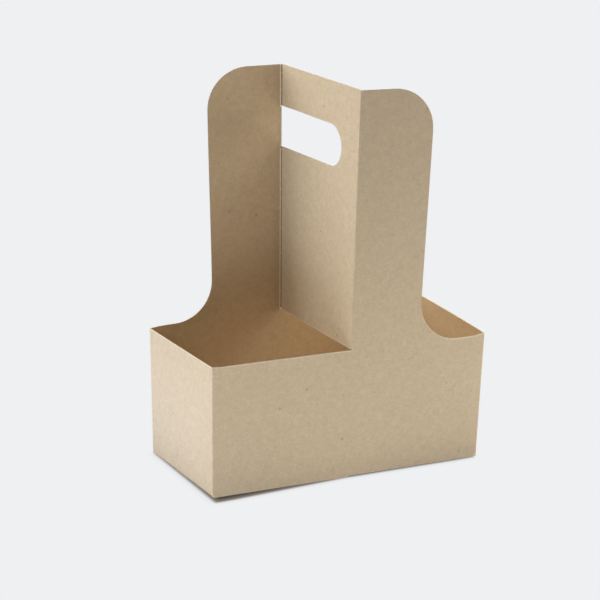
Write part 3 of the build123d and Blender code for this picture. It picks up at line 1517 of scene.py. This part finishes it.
@dataclass(frozen=True)
class KraftFinish:
    """One face of the kraft board. Colours are display values from 0 to 255.

    Clouds, mottle and fibres are how strongly each changes the tone, and specks is the share
    of cells that have one. Each wear is how far that place shows bare fibre; on a crease's
    bead it is also painted highlight. The least edge lightening is the least share of an
    edge's wear away from the rim, and the groove shade is how far the groove turns towards
    the speck colour, as painted shade. Widths and relief are in metres, and the shift keeps
    one face's pattern from repeating another's.
    """

    name: str
    paper: DisplayColour
    bare_fibre_and_highlight: DisplayColour
    speck_and_groove_shade: DisplayColour = (96, 72, 46)
    clouds: float = 0.05
    mottle: float = 0.52
    fibres: float = 0.33
    specks: float = 0.05
    edge_wear: float = 0.6
    fold_wear: float = 0.1
    bead_wear_and_highlight: float = 0.0
    groove_shade: float = 0.0
    edge_width: float = 0.0009
    fold_width: float = 0.0006
    unevenness: float = 0.5
    least_edge_lightening: float = 0.1
    roughness: float = 0.65
    roughness_swing: float = 0.12
    specular: float = 0.3
    relief: float = 0.00002
    shift: float = 0.0

    def build(self, fibres: bpy.types.NodeTree, wear_and_light: bpy.types.NodeTree) -> bpy.types.Material:
        """Makes the material.

        Args:
            fibres: The shared group of pressed fibres.
            wear_and_light: The shared group of wear, painted highlight and painted shade.

        Returns:
            The material.
        """
        material = bpy.data.materials.new(self.name)
        sheet = NodeSheet.of(material)
        amounts = {
            "Clouds": self.clouds,
            "Mottle": self.mottle,
            "Fibres": self.fibres,
            "Specks": self.specks,
            "Shift": self.shift,
        }
        pulp = sheet.add("ShaderNodeGroup", amounts, node_tree=fibres).outputs
        widths = {
            "Edge Width": self.edge_width,
            "Fold Width": self.fold_width,
            "Unevenness": self.unevenness,
            "Unrubbed": self.least_edge_lightening,
        }
        wear_and_light_masks = sheet.add("ShaderNodeGroup", widths, node_tree=wear_and_light).outputs
        edge = sheet.math("MULTIPLY", wear_and_light_masks["Edge"], self.edge_wear)
        fold = sheet.math("MULTIPLY", wear_and_light_masks["Fold"], self.fold_wear)
        # Bare fibre and painted highlight on the crease's bead and its nicks.
        bead = sheet.math("MULTIPLY", wear_and_light_masks["Bead"], self.bead_wear_and_highlight)
        bare = sheet.math("MAXIMUM", sheet.math("MAXIMUM", edge, fold), bead)
        colour = sheet.blend(bare, linear(*self.paper), linear(*self.bare_fibre_and_highlight))
        # Painted shade: the groove beside a crease turns towards the dark speck colour.
        groove = sheet.math("MULTIPLY", wear_and_light_masks["Groove"], self.groove_shade)
        colour = sheet.blend(groove, colour, linear(*self.speck_and_groove_shade))
        colour = sheet.blend(pulp["Specks"], colour, linear(*self.speck_and_groove_shade))
        toned = sheet.vector("MULTIPLY", colour, pulp["Tone"])
        bump = sheet.add("ShaderNodeBump", {"Height": pulp["Height"], "Distance": self.relief})
        uneven = sheet.math("ADD", pulp["Height"], bare)
        shader = sheet.add("ShaderNodeBsdfPrincipled", {
            "Base Color": toned,
            "Roughness": sheet.math("MULTIPLY_ADD", uneven, self.roughness_swing, self.roughness),
            "Specular IOR Level": self.specular,
            "Normal": bump.outputs[0],
        })
        sheet.add("ShaderNodeOutputMaterial", {"Surface": shader.outputs[0]})
        return material


@dataclass(frozen=True)
class BoardFinish:
    """The finishes of the board's outside, inside and cut edge."""

    outside: KraftFinish = KraftFinish(
        "kraft_outside", paper=(200, 180, 149), bare_fibre_and_highlight=(236, 218, 190),
    )
    # The inside's pale bare fibre on the crease's bead is partly painted highlight, and the groove
    # beside the crease gets painted shade.
    inside: KraftFinish = KraftFinish(
        "kraft_inside", paper=(186, 162, 128), bare_fibre_and_highlight=(240, 222, 192),
        shift=0.37, edge_wear=0.1, bead_wear_and_highlight=1.0, groove_shade=0.45,
    )
    # The cut edge's colours are darker than the faces' as painted shade, most of all above the rim,
    # where little of the paler bare fibre shows.
    cut_edge: KraftFinish = KraftFinish(
        "kraft_cut_edge", paper=(138, 125, 106), bare_fibre_and_highlight=(168, 153, 131),
        shift=0.71, edge_wear=1.0,
    )

    def dress(self, piece: bpy.types.Object, wing: Wing) -> None:
        """Gives the board its materials, in the order of Face.

        Args:
            piece: The board.
            wing: The wing, whose hole interrupts the crease's bead and groove masks.
        """
        fibres, wear_and_light = FibreGroup().build(), WearAndPaintedLightGroup((wing.hole_low, wing.hole_high)).build()
        finishes = {
            Face.OUTSIDE: self.outside,
            Face.INSIDE: self.inside,
            Face.CUT_EDGE: self.cut_edge,
        }
        for face in Face:
            piece.data.materials.append(finishes[face].build(fibres, wear_and_light))
        LOG.info("%s: %d finishes", piece.name, len(finishes))


@dataclass(frozen=True)
class Softbox:
    """A round soft light that faces the carrier. Angles in degrees, as the camera's."""

    name: str
    azimuth: float
    elevation: float
    power: float
    distance: float = 1.0
    width: float = 0.8
    aim: Triple = (0.0, 0.0, 0.08)

    def build(self) -> bpy.types.Object:
        """Makes the light, on a sphere about its aim and turned to face it.

        Returns:
            The light.
        """
        data = bpy.data.lights.new(self.name, "AREA")
        data.shape = "DISK"
        data.size = self.width
        data.energy = self.power
        back = outward_from(self.azimuth, self.elevation)
        turn = back.to_track_quat("Z", "Y").to_matrix().to_4x4()
        light = new_object(self.name, data)
        light.matrix_world = Matrix.Translation(Vector(self.aim) + back * self.distance) @ turn
        return light


@dataclass(frozen=True)
class LightPool:
    """A soft round pool of light on the floor, which the board is lit by and mirrors."""

    place: Triple
    radius: float
    strength: float
    tint: Triple = WHITE

    def glow(self, sheet: NodeSheet, place: Socket) -> Socket:
        """Light of the pool: strength times e to the minus (distance / radius) squared.

        Args:
            sheet: Node sheet of the floor's material.
            place: Place on the floor.

        Returns:
            The tinted light.
        """
        distance = sheet.add("ShaderNodeVectorMath", {0: place, 1: self.place}, operation="DISTANCE")
        share = sheet.math("DIVIDE", distance.outputs["Value"], self.radius)
        fall = sheet.math("MULTIPLY", sheet.math("MULTIPLY", share, share), -1.0)
        light = sheet.math("MULTIPLY", sheet.math("EXPONENT", fall), self.strength)
        return sheet.vector("MULTIPLY", light, self.tint)


@dataclass(frozen=True)
class ContactShade:
    """Shade on the floor under and close around the carrier. Lengths in metres.

    The dark colour is under the carrier, the deep shade is further in and takes away its
    share of the light, and so does the halo, softly, about the outline. The outline's left
    and front sides lean out by their skews, and the front side also bends back at its middle.
    """

    left: float = -0.0879
    left_skew: float = 0.0257
    right: float = 0.0885
    front: float = -0.0432
    front_skew: float = 0.0042
    back: float = 0.0435
    front_arch: float = 0.0028
    arch_half: float = 0.075
    blur: float = 0.0018
    far_blur: float = 0.0004
    dark: Triple = (0.33, 0.28, 0.235)
    deep: float = 0.65
    deep_inset: float = 0.003
    halo: float = 0.24
    halo_blur: float = 0.006

    def cover(
        self, sheet: NodeSheet, place: Socket, inset: float, near: float, far: float,
    ) -> Socket:
        """1 under the carrier and 0 beside it, smooth across the outline.

        The outline is a rectangle drawn in by an inset. Its left side leans out by its skew
        times y and its front side by its own times x, and the front side also bends back by
        a (1 - |x| / arch half). The cover is the product of each side's smooth step.

        Args:
            sheet: Node sheet of the floor's material.
            place: Place on the floor.
            inset: How far the outline is drawn in.
            near: Half the width of the step at the left and the front.
            far: Half the width of the step at the right and the back.

        Returns:
            The cover.
        """
        parts = sheet.add("ShaderNodeSeparateXYZ", {0: place}).outputs
        share = sheet.math("DIVIDE", sheet.math("ABSOLUTE", parts[0]), self.arch_half)
        arch = sheet.math("MAXIMUM", sheet.math("SUBTRACT", 1.0, share), 0.0)
        arch = sheet.math("MULTIPLY", arch, self.front_arch)
        left = sheet.math("MULTIPLY_ADD", parts[1], -self.left_skew, self.left)
        front = sheet.math("MULTIPLY_ADD", parts[0], -self.front_skew, self.front)
        sides = (
            (sheet.math("SUBTRACT", left, parts[0]), near),
            (sheet.math("SUBTRACT", sheet.math("ADD", arch, front), parts[1]), near),
            (sheet.math("SUBTRACT", parts[0], self.right), far),
            (sheet.math("SUBTRACT", parts[1], self.back), far),
        )
        cover = 1.0
        for past, soft in sides:
            cover = sheet.math("MULTIPLY", sheet.step_down(past, -inset - soft, soft - inset), cover)
        return cover

    def factor(self, sheet: NodeSheet, place: Socket) -> Socket:
        """How much of the floor's brightness is left at each place.

        Args:
            sheet: Node sheet of the floor's material.
            place: Place on the floor.

        Returns:
            The factor for each colour: the dark colour under the carrier, darker further in,
            and a faint halo about it.
        """
        under = self.cover(sheet, place, 0.0, self.blur, self.far_blur)
        shaded = sheet.blend(under, (*WHITE, 1.0), (*self.dark, 1.0))
        further = self.cover(sheet, place, self.deep_inset, self.deep_inset, self.deep_inset)
        near = self.cover(sheet, place, 0.0, self.halo_blur, self.halo_blur)
        deeper = sheet.math("SUBTRACT", 1.0, sheet.math("MULTIPLY", further, self.deep))
        halo = sheet.math("SUBTRACT", 1.0, sheet.math("MULTIPLY", near, self.halo))
        return sheet.vector("MULTIPLY", shaded, sheet.math("MULTIPLY", deeper, halo))


@dataclass(frozen=True)
class Studio:
    """Pale floor, soft light and the camera of the photograph. Lengths in metres."""

    camera_place: Triple = (-0.5582, -1.0720, 0.4868)
    azimuth: float = -27.0
    elevation: float = 17.73
    roll: float = 0.963
    lens: float = 126.12
    sensor: float = 36.0
    view_depth: float = 100.0
    floor_half: float = 6.0
    floor_colour: DisplayColour = (239, 240, 242)
    floor_light: float = 0.334
    shade: ContactShade = ContactShade()
    pools: tuple[LightPool, ...] = (
        LightPool((-0.260, -0.150, 0.0), radius=0.15, strength=1.86),
        LightPool((-0.103, -0.282, 0.0), radius=0.15, strength=1.0),
        LightPool((0.0, -0.120, 0.0), radius=0.07, strength=1.11),
        LightPool((0.260, -0.150, 0.0), radius=0.15, strength=3.56),
        LightPool((-0.295, 0.052, 0.0), radius=0.15, strength=0.9, tint=COOL_DAYLIGHT),
        LightPool((-0.190, 0.090, 0.0), radius=0.07, strength=1.3, tint=COOL_DAYLIGHT),
        LightPool((-0.170, 0.0, 0.0), radius=0.06, strength=0.67, tint=COOL_DAYLIGHT),
    )
    softboxes: tuple[Softbox, ...] = (
        Softbox("right_softbox", azimuth=70.0, elevation=35.0, power=3.8),
        Softbox("right_back_softbox", azimuth=120.0, elevation=35.0, power=9.2),
        Softbox("back_softbox", azimuth=170.0, elevation=50.0, power=13.1),
        Softbox("left_back_softbox", azimuth=-130.0, elevation=30.0, power=6.5),
        Softbox("left_front_softbox", azimuth=-60.0, elevation=30.0, power=1.75),
        Softbox("top_softbox", azimuth=-60.0, elevation=80.0, power=3.6),
    )

    def camera(self) -> bpy.types.Object:
        """Makes the camera and makes it the scene's own.

        Its axes are those of a level camera at the azimuth and elevation, rolled about its
        line of sight.

        Returns:
            The camera.
        """
        data = bpy.data.cameras.new("camera")
        data.lens = self.lens
        data.sensor_width = self.sensor
        data.sensor_fit = "HORIZONTAL"
        data.clip_end = self.view_depth
        back = outward_from(self.azimuth, self.elevation)
        right = Vector((0.0, 0.0, 1.0)).cross(back).normalized()
        up = back.cross(right)
        roll = math.radians(self.roll)
        rolled_right = right * math.cos(roll) + up * math.sin(roll)
        rolled_up = up * math.cos(roll) - right * math.sin(roll)
        turn = Matrix((rolled_right, rolled_up, back)).transposed().to_4x4()
        camera = new_object("camera", data)
        camera.matrix_world = Matrix.Translation(self.camera_place) @ turn
        bpy.context.scene.camera = camera
        return camera

    def floor_material(self) -> bpy.types.Material:
        """Makes the floor's material, pale and even to the eye, with pools of light.

        The camera sees the plain floor with the contact shade. The board is lit by the
        floor's even light and its pools.

        Returns:
            The material.
        """
        material = bpy.data.materials.new("pale_floor")
        sheet = NodeSheet.of(material)
        place = sheet.add("ShaderNodeTexCoord").outputs["Object"]
        seen = sheet.vector("MULTIPLY", self.shade.factor(sheet, place), linear(*self.floor_colour)[:3])
        light = (self.floor_light,) * 3
        for pool in self.pools:
            light = sheet.vector("ADD", pool.glow(sheet, place), light)
        to_camera = sheet.add("ShaderNodeLightPath").outputs["Is Camera Ray"]
        glow = sheet.add("ShaderNodeEmission", {"Color": sheet.blend(to_camera, light, seen)})
        sheet.add("ShaderNodeOutputMaterial", {"Surface": glow.outputs[0]})
        return material

    def floor(self) -> bpy.types.Object:
        """Makes the floor, a large square.

        Returns:
            The floor.
        """
        mesh = bpy.data.meshes.new("floor")
        corners = np.array([(-1, -1, 0), (1, -1, 0), (1, 1, 0), (-1, 1, 0)]) * self.floor_half
        mesh.from_pydata(corners, [], [range(len(corners))])
        mesh.materials.append(self.floor_material())
        floor = new_object("floor", mesh)
        return floor

    def world(self) -> None:
        """Shows the floor's colour beyond the floor, and keeps the surroundings dark."""
        world = bpy.data.worlds.new("studio")
        sheet = NodeSheet.of(world)
        to_camera = sheet.add("ShaderNodeLightPath").outputs["Is Camera Ray"]
        background = sheet.add("ShaderNodeBackground", {
            "Color": linear(*self.floor_colour),
            "Strength": to_camera,
        })
        sheet.add("ShaderNodeOutputWorld", {"Surface": background.outputs[0]})
        bpy.context.scene.world = world
        bpy.context.scene.view_settings.view_transform = "Standard"

    def build(self) -> None:
        """Makes the floor, the lights and the camera."""
        self.floor()
        self.world()
        for softbox in self.softboxes:
            softbox.build()
        self.camera()
        LOG.info("studio: %d pools of light, %d softboxes", len(self.pools), len(self.softboxes))


def main() -> None:
    """Loads the frame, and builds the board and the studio."""
    logging.basicConfig(level=logging.INFO, format="%(name)s: %(message)s")
    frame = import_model()
    node = next(iter(frame["nodes"]))
    size = CarrierSize.from_frame(node)
    back_half, front_half = Wing(size, HoleEnd.FOLD), Wing(size, HoleEnd.FREE_EDGE)
    sleeve = Sleeve(size, back_half)
    base = Base(size, sleeve)
    turned_patches = [patch.turned(size.half_way) for patch in front_half.patches()]
    handle = back_half.patches() + turned_patches
    creases = (back_half.crease_blank(), front_half.crease_blank() + size.half_way)
    board = FoldedBoard(size, Stance(size), sleeve.patches() + handle + base.patches(), creases)
    piece = board.build("folded_board")
    BoardFinish().dress(piece, back_half)
    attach(piece, "root")
    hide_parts(node)
    Studio().build()


if __name__ == "__main__":
    main()
